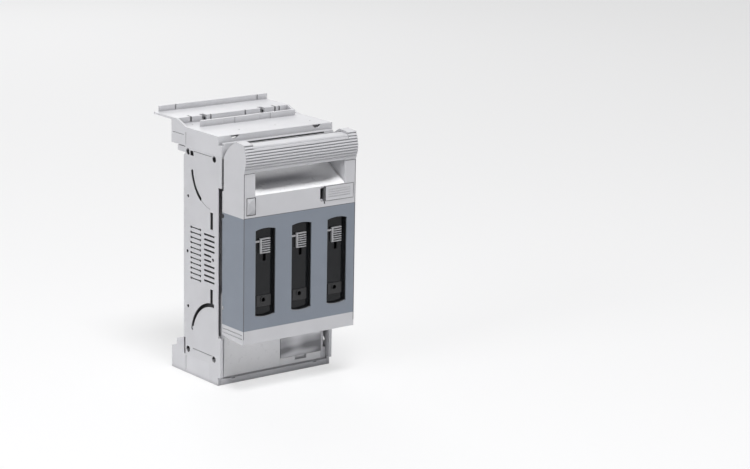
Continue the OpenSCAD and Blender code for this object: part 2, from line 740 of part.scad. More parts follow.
// Grooves across the grip's whole front; each is steep above and slopes out below
module ridges_2d() {
    pitch = (grip_top - 3 - recess_z1) / ridge_n;
    for (k = [0:ridge_n - 1]) {
        z = recess_z1 + 1.4 + (k + 0.5) * pitch;
        top = z + pitch / 2 - 0.35;
        low = z - pitch / 2 + 0.35;
        polygon([[bulge_at(top, 0) - 1.5, top], [bulge_at(top, 0), top], [bulge_at(top, 0) + ridge_d, top - 0.25],
            [bulge_at(low, 0), low], [bulge_at(low, 0) - 1.5, low]]);
    }
}

module bar_cut_2d() {
    // What the bar's crown is lower than the cheeks
    difference() {
        translate([-cover_y - 8, grip_top - 6]) square([40, 40]);
        translate([0, -bar_drop]) polygon(concat([[cover_back_top, step_z]],
            back_arc(cover_back_top, 0, 12), front_arc(0, 8)));
    }
}

module window_2d(i, grow) {
    w = win_w / 2 + grow;
    h = win_h / 2 - win_arch + grow;
    r = (w * w + win_arch * win_arch) / (2 * win_arch);
    a = asin(w / r);
    n = 8;
    translate([win_x(i), win_z]) polygon(concat(
        [for (k = [0:n]) let (b = a - 2 * a * k / n) [r * sin(b), h + win_arch - r + r * cos(b)]],
        [for (k = [0:n]) let (b = -a + 2 * a * k / n) [r * sin(b), -h - win_arch + r - r * cos(b)]]));
}

module cover_arm() {
    pin = hinge_at(slot_r, pin_rest);
    lever = arm_w / 2 * [-sin(pin_rest), cos(pin_rest)];
    axis = [hinge_y, hinge_z];
    along_x(arm_in, arm_out) {
        polygon([[cover_back - 10, cover_z + 5], [cover_back, cover_z + 4.5], [hinge_y - 4, hinge_z - 4.5],
            [hinge_y + 1, hinge_z - 6], [hinge_y + 6, hinge_z], [hinge_y + 5, cover_z + 12],
            [cover_back, cover_z + 40], [cover_back - 10, cover_z + 44]]);
        // Lever to the guide pin
        polygon([axis - lever, pin - lever, pin + lever, axis + lever]);
        translate(axis) circle(r = arm_w);
        translate(pin) circle(r = 4);
    }
}

module cover_shell() {
    color(c_cover) difference() {
        union() {
            difference() {
                along_x(-cover_hw, cover_hw) cover_outer_2d();
                along_x(-cover_hw + cover_t, cover_hw - cover_t) cover_inner_2d();
            }
            // Wall of the finger recess
            along_x(-recess_hw - cover_t, recess_hw + cover_t) recess_wall_2d();
            both_sides() cover_arm();
            both_sides() rod_x(trunnion_r, arm_in, half_w - 1.3, hinge_y, hinge_z);
            // Ribs at both ends of the arms tie them to the sides
            both_sides() span([arm_out - eps, cover_back - 9, cover_z + 8], [cover_hw - cover_t + eps, cover_back - 2, cover_z + 40]);
        }
        difference() {
            along_x(-recess_hw, recess_hw) recess_2d();
            both_sides() recess_end();
        }
        along_x(-cover_hw + cheek_w, cover_hw - cheek_w) bar_cut_2d();
        along_x(-cover_hw - 1, cover_hw + 1) ridges_2d();
        // Seat of the coloured band, all round the front and sides
        difference() {
            span([-cover_hw - 1, -cover_y - 1, band_z0], [cover_hw + 1, 5, band_z1]);
            span([-cover_hw + band_t, -cover_y + band_t, 0], [cover_hw - band_t, 6, body_h]);
        }
        for (i = [1:3]) along_y(-cover_y - 1, shell_in + 1) window_2d(i, 0);
        // Latch notches in the rear edges of the sides
        both_sides() for (z = [band_z1 - 4.4, band_z0 + 11]) span([cover_hw - cover_t - 1, cover_back - 2.2, z],
            [cover_hw + 1, cover_back + 1, z + 3.2]);
        // Grooves on the lower strip of the sides
        both_sides() for (z = [3.4, 6.4]) span([cover_hw - 0.4, -cover_y + 1.2, band_z0 - z], [cover_hw + 1, cover_back + 1, band_z0 - z + 0.8]);
        // Bores for the guide pins
        both_sides() { p = hinge_at(slot_r, pin_rest); rod_x(guide_r, arm_in - 1, arm_out + 1, p[0], p[1]); }
        lock_pocket();
        lens_pocket();
    }
}

guide_r = slot_w / 2 - 0.1;
arm_w = 6;

module guide_pins() {
    p = hinge_at(slot_r, pin_rest);
    color(c_steel) both_sides() rod_x(guide_r, arm_in, half_w - 0.6, p[0], p[1]);
}

module cover_band() {
    color(c_band) difference() {
        span([-cover_hw, -cover_y, band_z0], [cover_hw, cover_back, band_z1]);
        span([-cover_hw + band_t, -cover_y + band_t, band_z0 - 1], [cover_hw - band_t, 5, band_z1 + 1]);
        for (i = [1:3], drop = [0, win_rim]) translate([0, 0, -drop]) along_y(-cover_y - 1, -cover_y + 3) window_2d(i, 0);
        both_sides() for (z = [band_z1 - 4.4, band_z0 + 11]) span([cover_hw - cover_t - 1, cover_back - 2.2, z],
            [cover_hw + 1, cover_back + 1, z + 3.2]);
    }
}

// The shell shows as a fine rim inside each window of the band
win_rim = 0.4;

// Lock slider in the front, at the right over the band
lock_x1 = cover_hw - 2.4;
lock_x0 = lock_x1 - 25.9;
lock_z0 = 142.1;
lock_z1 = 153;
lock_d = 1.4;
lock_gap = 0.15;

lock_mid = (lock_z0 + lock_z1) / 2;
stem_h = 3.2;
foot_w = 5;

module lock_pocket() {
    span([lock_x0 - lock_travel - lock_gap, -cover_y - 1, lock_z0 - lock_gap], [lock_x1 + 0.6, -cover_y + lock_d, lock_z1 + lock_gap]);
    // Open notch before the slider, through the wall
    span([lock_x0 - lock_travel - 0.8, -cover_y - 1, lock_z0 + 1.3], [lock_x0 + 1, shell_in + 1, lock_z1 - 1.2]);
    // Thin guide slit through the wall, longer than the slider
    span([lock_x0 - 1.8, -cover_y - 1, lock_z0 - 2.4], [lock_x0 - 0.5, shell_in + 1, lock_z1 + 3]);
    // Slit for the slider's stem
    span([lock_x1 - foot_w - 2 - lock_travel - lock_gap, -cover_y - 1, lock_mid - stem_h / 2 - lock_gap],
        [lock_x1 - 4 + lock_gap, shell_in + 1, lock_mid + stem_h / 2 + lock_gap]);
}

module lock_slider() {
    stem_x0 = lock_x1 - foot_w - 2;
    color(c_cover) difference() {
        union() {
            span([lock_x0, -cover_y - 0.3, lock_z0], [lock_x1, -cover_y + lock_d - 0.1, lock_z1]);
            // Stem through the cover's wall and the foot behind it
            span([stem_x0, -cover_y + lock_d - 0.1 - eps, lock_mid - stem_h / 2], [lock_x1 - 4, shell_in + 0.15 + eps, lock_mid + stem_h / 2]);
            span([stem_x0 - 0.5, shell_in + 0.15, lock_mid - stem_h / 2 - 1.2], [lock_x1 - 3.5, shell_in + 1.2, lock_mid + stem_h / 2 + 1.2]);
        }
        for (k = [0:3]) span([lock_x0 + 2.5, -cover_y - 1, lock_z0 + 2.6 + k * 1.8], [lock_x1 - 3, -cover_y - 0.1, lock_z0 + 3.2 + k * 1.8]);
    }
}

lens_x0 = -cover_hw + 2.5;
lens_x1 = lens_x0 + 8.4;
lens_gap = 0.5;
lens_z0 = 139.2;
lens_z1 = 152.9;

module lens_pocket() {
    span([lens_x0, -cover_y - 1, lens_z0], [lens_x1, -cover_y + 1.6, lens_z1]);
}

module marker_lens() {
    // Lens with a raised prism edge from corner to corner
    color(c_glass) span([lens_x0 + lens_gap, -cover_y - 0.1, lens_z0 + lens_gap], [lens_x1 - lens_gap, -cover_y + 1.6, lens_z1 - lens_gap]);
}

// Window pane: a flat tray behind each window, with slots for the test slider's stem
pane_y = shell_in + 1.6;
pane_t = 1.2;
pane_edge = 1.8;
stem_w = 2.4;
slider_z0 = 108.2;
slider_z1 = 119.8;
slider_x0 = -3.7;
slider_x1 = 5.6;
rib_n = 7;
stem_z = slider_z1 - 4;
probe_r = 1.7;
probe_z = 72;

module window_pane(i) {
    color(c_glass) difference() {
        along_y(shell_in, pane_y + pane_t) window_2d(i, pane_edge);
        along_y(shell_in - 1, pane_y) window_2d(i, 0);
        span([win_x(i) + 1.2 - stem_w / 2 - 0.15, pane_y - 1, stem_z - 1.7 - test_travel],
            [win_x(i) + 1.2 + stem_w / 2 + 0.15, pane_y + pane_t + 1, stem_z + 1.7]);
        rod_y(probe_r, pane_y - 1, pane_y + pane_t + 1, win_x(i), probe_z);
    }
}

module test_slider(i) {
    y0 = pane_y - 1.8;
    rib_step = (slider_z1 - slider_z0 + 0.8) / rib_n;
    color([0.75, 0.75, 0.76]) translate([win_x(i), 0, 0]) {
        // Plate with finger ribs like a comb
        difference() {
            span([slider_x0, y0, slider_z0], [slider_x1, pane_y - 0.15, slider_z1]);
            for (k = [0:rib_n - 2]) span([slider_x0 + 1.6, y0 - 1, slider_z0 + k * rib_step + 0.8],
                [slider_x1 + 1, pane_y, slider_z0 + (k + 1) * rib_step]);
        }
        // Arm to the window's edge
        span([-win_w / 2 + 0.3, y0 + 0.6, slider_z1 - 2.8], [slider_x0 + eps, pane_y - 0.15, slider_z1 - 1.4]);
        // Stem through the pane's slit and its foot
        span([1.2 - stem_w / 2, pane_y - 0.15 - eps, stem_z - 1.5], [1.2 + stem_w / 2, pane_y + pane_t + 0.15, stem_z + 1.5]);
        span([1.2 - 3, pane_y + pane_t + 0.15 - eps, stem_z - 3], [1.2 + 3, pane_y + pane_t + 1, stem_z + 3]);
    }
}

module probe_plate(i) {
    color(c_dark) difference() {
        union() {
            span([win_x(i) - 6, pane_y - 0.7, 66.8], [win_x(i) + 7.1, pane_y, 75.3]);
            // Collar round the test hole
            rod_y(probe_r + 0.9, pane_y - 1.2, pane_y - 0.7 + eps, win_x(i), probe_z);
        }
        rod_y(probe_r, pane_y - 2, pane_y + 1, win_x(i), probe_z);
    }
}

// Fuse carrier: a dark frame behind each window, with two claws for the fuse-link's lugs
carrier_hw = 11.8;
carrier_y0 = pane_y + pane_t + 1.6;
carrier_y1 = carrier_y0 + 9;
carrier_z0 = win_z - win_h / 2 - 6;
carrier_z1 = win_z + win_h / 2 + 6;

module fuse_carrier(i) {
    color(c_dark) translate([win_x(i), 0, 0]) {
        difference() {
            span([-carrier_hw, carrier_y0, carrier_z0], [carrier_hw, carrier_y1, carrier_z1]);
            span([-carrier_hw + 1.6, carrier_y0 + 1.6, carrier_z0 + 1.6], [carrier_hw - 1.6, carrier_y1 + 1, carrier_z1 - 1.6]);
        }
        // Feet on the cover's front wall, past both ends of the pane
        for (z = [carrier_z0, carrier_z1 - 3])
            span([-carrier_hw, shell_in, z], [carrier_hw, carrier_y0 + eps, z + 3]);
        // Claws
        for (s = [-1, 1]) translate([0, 0, win_z])
            along_x(-5, 5) polygon([[carrier_y0 + 1.5, s * 21], [carrier_y1 + 5, s * 21], [carrier_y1 + 8, s * 19.4],
                [carrier_y1 + 8, s * 23], [carrier_y1 + 5, s * 24.6], [carrier_y0 + 1.5, s * 24.6]]);
    }
}

chassis();
top_hood();
bottom_hood();
rating_plate();
plate_window();
cover_shell();
cover_band();
lock_slider();
marker_lens();
guide_pins();
window_pane(1);  // window_pane_1
window_pane(2);  // window_pane_2
window_pane(3);  // window_pane_3
test_slider(1);  // test_slider_1
test_slider(2);  // test_slider_2
test_slider(3);  // test_slider_3
probe_plate(1);  // probe_plate_1
probe_plate(2);  // probe_plate_2
probe_plate(3);  // probe_plate_3
fuse_carrier(1);  // fuse_carrier_1
fuse_carrier(2);  // fuse_carrier_2
fuse_carrier(3);  // fuse_carrier_3
jaw(1, 1);  // upper_jaw_1
jaw(2, 1);  // upper_jaw_2
jaw(3, 1);  // upper_jaw_3
jaw(1, -1);  // lower_jaw_1
jaw(2, -1);  // lower_jaw_2
jaw(3, -1);  // lower_jaw_3
jaw_springs();
jaw_screws();
load_strap(1);  // load_strap_1
load_strap(2);  // load_strap_2
load_strap(3);  // load_strap_3
line_strap(1);  // line_strap_1
line_strap(2);  // line_strap_2
line_strap(3);  // line_strap_3
cable_clamp(1);  // cable_clamp_1
cable_clamp(2);  // cable_clamp_2
cable_clamp(3);  // cable_clamp_3
clamp_screws();
arc_chute(1);  // arc_chute_1
arc_chute(2);  // arc_chute_2
arc_chute(3);  // arc_chute_3
busbar_hook(1);  // busbar_hook_1
busbar_hook(2);  // busbar_hook_2
busbar_hook(3);  // busbar_hook_3
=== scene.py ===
"""Fuse switch disconnector: finishes, fine pieces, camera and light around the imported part."""

import json
import math

import bmesh
import bpy
from mathutils import Matrix, Vector


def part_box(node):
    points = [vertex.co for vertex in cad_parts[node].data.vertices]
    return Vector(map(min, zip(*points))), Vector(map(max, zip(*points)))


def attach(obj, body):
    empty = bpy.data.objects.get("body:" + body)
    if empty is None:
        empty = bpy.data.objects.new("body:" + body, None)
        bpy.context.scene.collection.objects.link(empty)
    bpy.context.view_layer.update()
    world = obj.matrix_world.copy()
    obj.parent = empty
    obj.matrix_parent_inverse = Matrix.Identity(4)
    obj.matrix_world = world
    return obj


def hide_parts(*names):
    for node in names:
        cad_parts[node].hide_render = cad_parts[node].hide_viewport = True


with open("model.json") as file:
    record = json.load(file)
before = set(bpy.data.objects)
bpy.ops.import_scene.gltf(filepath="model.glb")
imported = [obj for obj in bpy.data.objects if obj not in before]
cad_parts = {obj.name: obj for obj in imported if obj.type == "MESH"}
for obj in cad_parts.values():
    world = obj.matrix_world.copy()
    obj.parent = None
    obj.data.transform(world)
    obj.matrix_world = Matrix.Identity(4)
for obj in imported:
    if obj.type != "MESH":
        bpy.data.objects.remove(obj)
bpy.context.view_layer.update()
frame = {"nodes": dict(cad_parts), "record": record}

MM = 0.001


# Camera: the photograph's own viewpoint, on a frame of 750 x 469
IMAGE_W = 750
FOCAL_PX = 2424.9
SENSOR_W = 36.0
CAM_AZIMUTH = math.radians(-37.85)
CAM_PITCH = math.radians(13.67)
CAM_ROLL = math.radians(1.028)
CAM_PLACE = Vector((-1.050366, -1.476245, 0.553955))


def add_camera():
    """The camera, turned by azimuth, pitch and a small roll."""
    flat = math.cos(CAM_PITCH)
    back = Vector((math.sin(CAM_AZIMUTH) * flat, -math.cos(CAM_AZIMUTH) * flat, math.sin(CAM_PITCH)))
    level_right = (-back).cross(Vector((0, 0, 1))).normalized()
    level_up = level_right.cross(-back)
    cos_roll = math.cos(CAM_ROLL)
    sin_roll = math.sin(CAM_ROLL)
    right = level_right * cos_roll + level_up * sin_roll
    up = level_up * cos_roll - level_right * sin_roll
    turn = Matrix((right, up, back)).transposed().to_4x4()
    camera = bpy.data.objects.new("camera", bpy.data.cameras.new("camera"))
    camera.data.sensor_width = SENSOR_W
    camera.data.lens = FOCAL_PX * SENSOR_W / IMAGE_W
    camera.data.clip_start = 0.05
    camera.data.clip_end = 50
    camera.matrix_world = Matrix.Translation(CAM_PLACE) @ turn
    bpy.context.scene.collection.objects.link(camera)
    bpy.context.scene.camera = camera


# Node helpers, for the finishes and for the forms that repeat
def math_node(tree, operation, *values):
    """The result of a Math node whose values are sockets or numbers."""
    node = tree.nodes.new("ShaderNodeMath")
    node.operation = operation
    for slot, value in zip(node.inputs, values):
        if isinstance(value, (int, float)):
            slot.default_value = value
        else:
            tree.links.new(value, slot)
    return node.outputs[0]


def ranged(tree, value, from_min, from_max, to_min, to_max, soft=False):
    """A number carried from one range to another and held at its ends."""
    remap = tree.nodes.new("ShaderNodeMapRange")
    if soft:
        remap.interpolation_type = "SMOOTHSTEP"
    remap.inputs["From Min"].default_value = from_min
    remap.inputs["From Max"].default_value = from_max
    remap.inputs["To Min"].default_value = to_min
    remap.inputs["To Max"].default_value = to_max
    tree.links.new(value, remap.inputs["Value"])
    return remap.outputs["Result"]


def mixed(tree, share, colour, other, blend="MIX"):
    """The colour, turned into the other one or multiplied by it where the share is 1."""
    mix = tree.nodes.new("ShaderNodeMix")
    mix.data_type = "RGBA"
    mix.blend_type = blend
    tree.links.new(share, mix.inputs["Factor"])
    tree.links.new(colour, mix.inputs[6])
    mix.inputs[7].default_value = (*other, 1)
    return mix.outputs[2]


def cool(level):
    """A grey of that level with a trace of blue."""
    return level, level, level * 1.03


# Light and floor
FLOOR_HALF = 6.0
FLOOR_DROP = 0.0002
FLOOR_COLOUR = (0.86, 0.86, 0.87, 1)
FLOOR_GLOW = 0.6
ROOM_COLOUR = (0.95, 0.96, 1.0, 1)
ROOM_LEVEL = 0.13
AIM = Vector((0, 0, 0.1))
# Each lamp's name, place, size in metres and watts
SOFTBOXES = [
    ("key", (-0.25, -0.68, 1.88), 0.6, 31.0),
    ("left", (-1.9, -0.15, 0.85), 0.9, 15.2),
    ("front", (-0.5, -2.0, 0.22), 0.8, 3.0),
    ("rear", (0.7, 1.9, 0.9), 0.9, 7.0),
]


def add_softbox(name, place, size, watts):
    """A square soft lamp that faces the device."""
    lamp = bpy.data.lights.new(name, "AREA")
    lamp.size = size
    lamp.energy = watts
    holder = bpy.data.objects.new(name, lamp)
    holder.location = place
    holder.rotation_euler = (AIM - Vector(place)).to_track_quat("-Z", "Y").to_euler()
    bpy.context.scene.collection.objects.link(holder)


def light_room():
    """An even pale room: white to the camera and to reflections, softer as a lamp."""
    world = bpy.data.worlds.new("studio")
    world.use_nodes = True
    bpy.context.scene.world = world
    tree = world.node_tree
    tree.nodes.clear()
    rays = tree.nodes.new("ShaderNodeLightPath").outputs
    seen = tree.nodes.new("ShaderNodeBackground")
    seen.inputs["Color"].default_value = (1, 1, 1, 1)
    seen.inputs["Strength"].default_value = 1.0
    lamp = tree.nodes.new("ShaderNodeBackground")
    lamp.inputs["Color"].default_value = ROOM_COLOUR
    lamp.inputs["Strength"].default_value = ROOM_LEVEL
    through = math_node(tree, "MAXIMUM", rays["Is Camera Ray"], rays["Is Transmission Ray"])
    shown = math_node(tree, "MAXIMUM", through, rays["Is Glossy Ray"])
    pick = tree.nodes.new("ShaderNodeMixShader")
    tree.links.new(shown, pick.inputs["Fac"])
    tree.links.new(lamp.outputs[0], pick.inputs[1])
    tree.links.new(seen.outputs[0], pick.inputs[2])
    out = tree.nodes.new("ShaderNodeOutputWorld")
    tree.links.new(pick.outputs[0], out.inputs["Surface"])


def lay_floor():
    """A plain pale floor that keeps the device's shadow and melts into the background."""
    mesh = bpy.data.meshes.new("floor")
    form = bmesh.new()
    bmesh.ops.create_grid(form, x_segments=1, y_segments=1, size=FLOOR_HALF,
                          matrix=Matrix.Translation((0, 0, -FLOOR_DROP)))
    form.to_mesh(mesh)
    form.free()
    floor = bpy.data.objects.new("floor", mesh)
    bpy.context.scene.collection.objects.link(floor)
    finish = bpy.data.materials.new("pale_floor")
    finish.use_nodes = True
    tree = finish.node_tree
    shader = tree.nodes["Principled BSDF"]
    shader.inputs["Base Color"].default_value = FLOOR_COLOUR
    shader.inputs["Roughness"].default_value = 0.6
    shader.inputs["Specular IOR Level"].default_value = 0.2
    glow = tree.nodes.new("ShaderNodeEmission")
    glow.inputs["Strength"].default_value = 1.0
    path = tree.nodes.new("ShaderNodeLightPath")
    share = math_node(tree, "MULTIPLY", path.outputs["Is Camera Ray"], FLOOR_GLOW)
    blend = tree.nodes.new("ShaderNodeMixShader")
    tree.links.new(share, blend.inputs["Fac"])
    tree.links.new(shader.outputs[0], blend.inputs[1])
    tree.links.new(glow.outputs[0], blend.inputs[2])
    tree.links.new(blend.outputs[0], tree.nodes["Material Output"].inputs["Surface"])
    mesh.materials.append(finish)


# Finishes: noise scales are per metre, depths and reaches in metres
MOTTLE_SCALE = 45
MOTTLE_SPREAD = 0.025
GLOSS_SCALE = 260
GRAIN_SCALE = 3200
GRAIN_DEPTH = 0.000012
# How far the painted shade in seams and corners reaches
SEAM_SHADE_REACH = 0.005
# Colour of the outer edges, paler from wear and painted highlight
WORN_HIGHLIT_EDGE = (0.86, 0.86, 0.88)
# Painted shade in the gap behind the outer walls: how far from the middle, how deep and how high
GAP_SIDE = (0.04692, 0.0526)
GAP_DEPTH = (0.0055, 0.0444)
GAP_HEIGHT = (0.019, 0.177)
GAP_SHADE = (0.06, 0.06, 0.063)
# The painted shade band in the finger recess: where it is full and where it has faded
BAND_UPPER = (0.1588, 0.1632)
BAND_LOWER = (0.1586, 0.1562)
BAND_RIGHT = (0.004, 0.038)
BAND_LEFT = (-0.034, -0.0415)


def start_finish(name):
    """A new material with its node tree, its shader and the object coordinates."""
    finish = bpy.data.materials.new(name)
    finish.use_nodes = True
    nodes = finish.node_tree.nodes
    shader = nodes["Principled BSDF"]
    place = nodes.new("ShaderNodeTexCoord").outputs["Object"]
    return finish, finish.node_tree, shader, place


def axes_of(tree, place):
    """The X, Y and Z of a place."""
    axes = tree.nodes.new("ShaderNodeSeparateXYZ")
    tree.links.new(place, axes.inputs["Vector"])
    return axes.outputs


def cloud(tree, place, scale, detail=2.0, stretch=None):
    """Noise of that scale per metre, drawn out along an axis where stretch is given."""
    if stretch:
        mapping = tree.nodes.new("ShaderNodeMapping")
        mapping.inputs["Scale"].default_value = stretch
        tree.links.new(place, mapping.inputs["Vector"])
        place = mapping.outputs["Vector"]
    noise = tree.nodes.new("ShaderNodeTexNoise")
    noise.inputs["Scale"].default_value = scale
    noise.inputs["Detail"].default_value = detail
    tree.links.new(place, noise.inputs["Vector"])
    return noise.outputs["Fac"]


def between(tree, fac, low, high):
    """A number that runs from low to high over the middle of a noise."""
    return ranged(tree, fac, 0.3, 0.7, low, high)


def ramped(tree, fac, start, stop, dark, light):
    """A colour that runs from dark to light between two values of a noise."""
    ramp = tree.nodes.new("ShaderNodeValToRGB")
    low, high = ramp.color_ramp.elements
    low.position = start
    high.position = stop
    low.color = (*dark, 1)
    high.color = (*light, 1)
    tree.links.new(fac, ramp.inputs["Fac"])
    return ramp.outputs["Color"]


def tinted(tree, fac, colour, spread):
    """The colour, a little darker and lighter over the noise."""
    dark = [c * (1 - spread) for c in colour]
    light = [min(1, c * (1 + spread)) for c in colour]
    return ramped(tree, fac, 0.3, 0.7, dark, light)


def relief(tree, height, depth, edge_r):
    """A bump of that depth on a surface whose edges are rounded by edge_r, in metres."""
    bump = tree.nodes.new("ShaderNodeBump")
    bump.inputs["Strength"].default_value = 1.0
    bump.inputs["Distance"].default_value = depth
    tree.links.new(height, bump.inputs["Height"])
    if edge_r:
        round_edge = tree.nodes.new("ShaderNodeBevel")
        round_edge.samples = 6
        round_edge.inputs["Radius"].default_value = edge_r
        tree.links.new(round_edge.outputs["Normal"], bump.inputs["Normal"])
    return bump.outputs["Normal"]


def painted_seam_shade(tree, colour, dark):
    """The colour, darker in seams and corners within the reach of the ambient occlusion node:
    painted shade.
    """
    corner = tree.nodes.new("ShaderNodeAmbientOcclusion")
    corner.samples = 6
    corner.inputs["Distance"].default_value = SEAM_SHADE_REACH
    depth = ranged(tree, corner.outputs["AO"], 0.25, 0.85, 1.0, 0.0)
    return mixed(tree, depth, colour, cool(dark), "MULTIPLY")


def worn_and_highlit_edges(tree, colour, edge_r, share):
    """The colour, paler on the outer edges: wear from hands and packing, and a painted highlight."""
    soft = tree.nodes.new("ShaderNodeBevel")
    soft.samples = 4
    soft.inputs["Radius"].default_value = edge_r * 1.3
    sharp = tree.nodes.new("ShaderNodeNewGeometry")
    turn = tree.nodes.new("ShaderNodeVectorMath")
    turn.operation = "DOT_PRODUCT"
    tree.links.new(soft.outputs["Normal"], turn.inputs[0])
    tree.links.new(sharp.outputs["True Normal"], turn.inputs[1])
    wear_and_highlight = ranged(tree, turn.outputs["Value"], 0.75, 0.99, share, 0.0)
    return mixed(tree, wear_and_highlight, colour, WORN_HIGHLIT_EDGE)


def within(tree, value, limits):
    """1 where the value lies between the two limits and 0 elsewhere."""
    low, high = limits
    return math_node(tree, "COMPARE", value, (low + high) / 2, (high - low) / 2)


def fade(tree, value, limits):
    """1 up to the first limit and 0 past the second, with soft ends."""
    full, none = limits
    return ranged(tree, value, full, none, 1.0, 0.0, soft=True)


def product(tree, *shares):
    """Numbers multiplied with each other."""
    result = shares[0]
    for share in shares[1:]:
        result = math_node(tree, "MULTIPLY", result, share)
    return result


def painted_gap_shade(tree, place, colour):
    """The colour, darkened as painted shade inside the slots and in the narrow gap behind the outer
    walls.
    """
    axes = axes_of(tree, place)
    side = within(tree, math_node(tree, "ABSOLUTE", axes["X"]), GAP_SIDE)
    deep = within(tree, axes["Y"], GAP_DEPTH)
    high = within(tree, axes["Z"], GAP_HEIGHT)
    return mixed(tree, product(tree, side, deep, high), colour, GAP_SHADE)


def moulded_plastic(name, colour, rough=0.45, edge_r=0.00035, seam_shade=0.4, wear_and_highlight=0.25, gap=False):
    """Injection-moulded plastic: flow mottle, eroded grain, painted shade in seams and corners, and
    edges paler from wear and painted highlight.
    """
    finish, tree, shader, place = start_finish(name)
    tint = tinted(tree, cloud(tree, place, MOTTLE_SCALE, 3), colour, MOTTLE_SPREAD)
    # Paler edges: wear and painted highlight
    tint = worn_and_highlit_edges(tree, tint, edge_r, wear_and_highlight)
    # Painted shade in seams and corners
    tint = painted_seam_shade(tree, tint, seam_shade)
    if gap:
        # Painted shade inside the slots and behind the outer walls
        tint = painted_gap_shade(tree, place, tint)
    gloss = between(tree, cloud(tree, place, GLOSS_SCALE, 3), rough - 0.04, rough + 0.05)
    grain = relief(tree, cloud(tree, place, GRAIN_SCALE, 2), GRAIN_DEPTH, edge_r)
    tree.links.new(tint, shader.inputs["Base Color"])
    tree.links.new(gloss, shader.inputs["Roughness"])
    tree.links.new(grain, shader.inputs["Normal"])
    shader.inputs["IOR"].default_value = 1.5
    return finish


def plated_metal(name, colour, streak=(1, 1, 12)):
    """Rolled or turned metal under a thin plating: fine streaks and soft clouds."""
    finish, tree, shader, place = start_finish(name)
    tint = tinted(tree, cloud(tree, place, 120, 3), colour, 0.06)
    gloss = between(tree, cloud(tree, place, 700, 2, streak), 0.24, 0.42)
    marks = relief(tree, cloud(tree, place, 1500, 2, streak), 0.000008, 0.00015)
    tree.links.new(tint, shader.inputs["Base Color"])
    tree.links.new(gloss, shader.inputs["Roughness"])
    tree.links.new(marks, shader.inputs["Normal"])
    shader.inputs["Metallic"].default_value = 1.0
    return finish


def tinted_window(name, colour, clear):
    """Smoked or clear moulded plastic that light passes through."""
    finish, tree, shader, place = start_finish(name)
    tint = tinted(tree, cloud(tree, place, 90, 2), colour, 0.04)
    gloss = between(tree, cloud(tree, place, 300, 2), 0.08, 0.13)
    waves = relief(tree, cloud(tree, place, 60, 2), 0.00002, 0.0003)
    tree.links.new(tint, shader.inputs["Base Color"])
    tree.links.new(gloss, shader.inputs["Roughness"])
    tree.links.new(waves, shader.inputs["Normal"])
    shader.inputs["Transmission Weight"].default_value = clear
    shader.inputs["IOR"].default_value = 1.49
    shader.inputs["Specular IOR Level"].default_value = 0.18
    return finish


def recess_painted_light_and_shade(name, colour, band_shade):
    """Smooth plastic, paler than the cover as painted light on the recess wall, with a painted shade
    band along the inner corner of the recess.
    """
    finish, tree, shader, place = start_finish(name)
    tint = tinted(tree, cloud(tree, place, MOTTLE_SCALE, 3), colour, 0.02)
    axes = axes_of(tree, place)
    right = fade(tree, axes["X"], BAND_RIGHT)
    left = fade(tree, axes["X"], BAND_LEFT)
    upper = fade(tree, axes["Z"], BAND_UPPER)
    lower = fade(tree, axes["Z"], BAND_LOWER)
    # Painted shade band along the recess's inner corner
    band = product(tree, right, left, upper, lower)
    tint = mixed(tree, band, tint, cool(band_shade), "MULTIPLY")
    gloss = between(tree, cloud(tree, place, GLOSS_SCALE, 3), 0.26, 0.34)
    grain = relief(tree, cloud(tree, place, GRAIN_SCALE, 2), 0.000006, 0)
    tree.links.new(tint, shader.inputs["Base Color"])
    tree.links.new(gloss, shader.inputs["Roughness"])
    tree.links.new(grain, shader.inputs["Normal"])
    shader.inputs["IOR"].default_value = 1.5
    return finish


def foil_with_painted_reflection(name, dark, light):
    """Thin silvery foil under a clear film, with soft dark and light streaks across it: painted
    reflection.
    """
    finish, tree, shader, place = start_finish(name)
    # Dark and light streaks: painted reflection
    streaks = cloud(tree, place, 42, 1, (0.7, 1, 2.1))
    tree.links.new(ramped(tree, streaks, 0.40, 0.66, dark, light), shader.inputs["Base Color"])
    waves = relief(tree, cloud(tree, place, 220, 2), 0.00001, 0.0001)
    tree.links.new(waves, shader.inputs["Normal"])
    shader.inputs["Metallic"].default_value = 0.35
    shader.inputs["Roughness"].default_value = 0.28
    return finish


